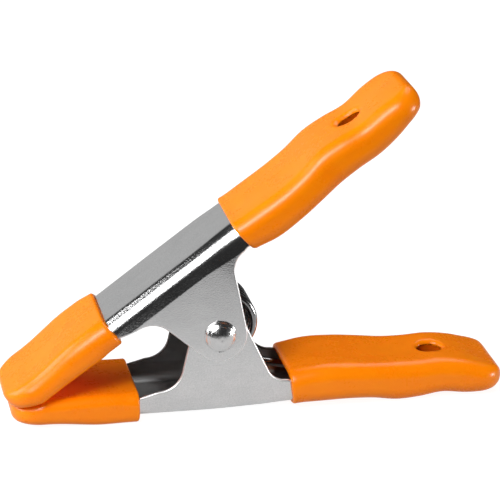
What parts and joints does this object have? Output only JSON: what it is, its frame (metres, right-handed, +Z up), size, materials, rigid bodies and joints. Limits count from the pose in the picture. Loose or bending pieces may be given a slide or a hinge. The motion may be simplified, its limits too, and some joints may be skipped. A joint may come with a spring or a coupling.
{
  "type": "spring clamp",
  "caption": "Hand spring clamp: two pressed steel levers crossed on a rivet, a coil spring between them, and soft orange sleeves on the jaws and handles.",
  "frame": {"origin": "centre of the bounding box's base, on the surface that the clamp lies on with its lower jaw sleeve and lower grip", "axes": "+X from the jaws to the handles, +Y across the levers along the rivet, +Z up"},
  "size_m": [0.1666, 0.037, 0.1081],
  "materials": {
    "plated_steel": "satin zinc or nickel plated sheet steel with a faint grain, brighter over the bends",
    "rivet_steel": "bright plated steel, headed over",
    "spring_steel": "dark polished spring wire",
    "orange_vinyl": "soft dipped vinyl, glossy orange"
  },
  "bodies": {
    "lower_half": {"lower_lever": "plated_steel", "lower_jaw_sleeve": "orange_vinyl", "lower_grip": "orange_vinyl", "pivot_rivet": "rivet_steel", "torsion_spring": "spring_steel"},
    "upper_half": {"upper_lever": "plated_steel", "upper_jaw_sleeve": "orange_vinyl", "upper_grip": "orange_vinyl"}
  },
  "joints": [
    {"name": "jaw_hinge", "type": "hinge", "parent": "lower_half", "child": "upper_half", "pos_m": [-0.01397, 0, 0.02902], "axis": [0, 1, 0], "range_deg": [0, 50], "stiffness_Nm_per_rad": 2, "springref_deg": -51.57, "deforming": ["torsion_spring"]}
  ]
}
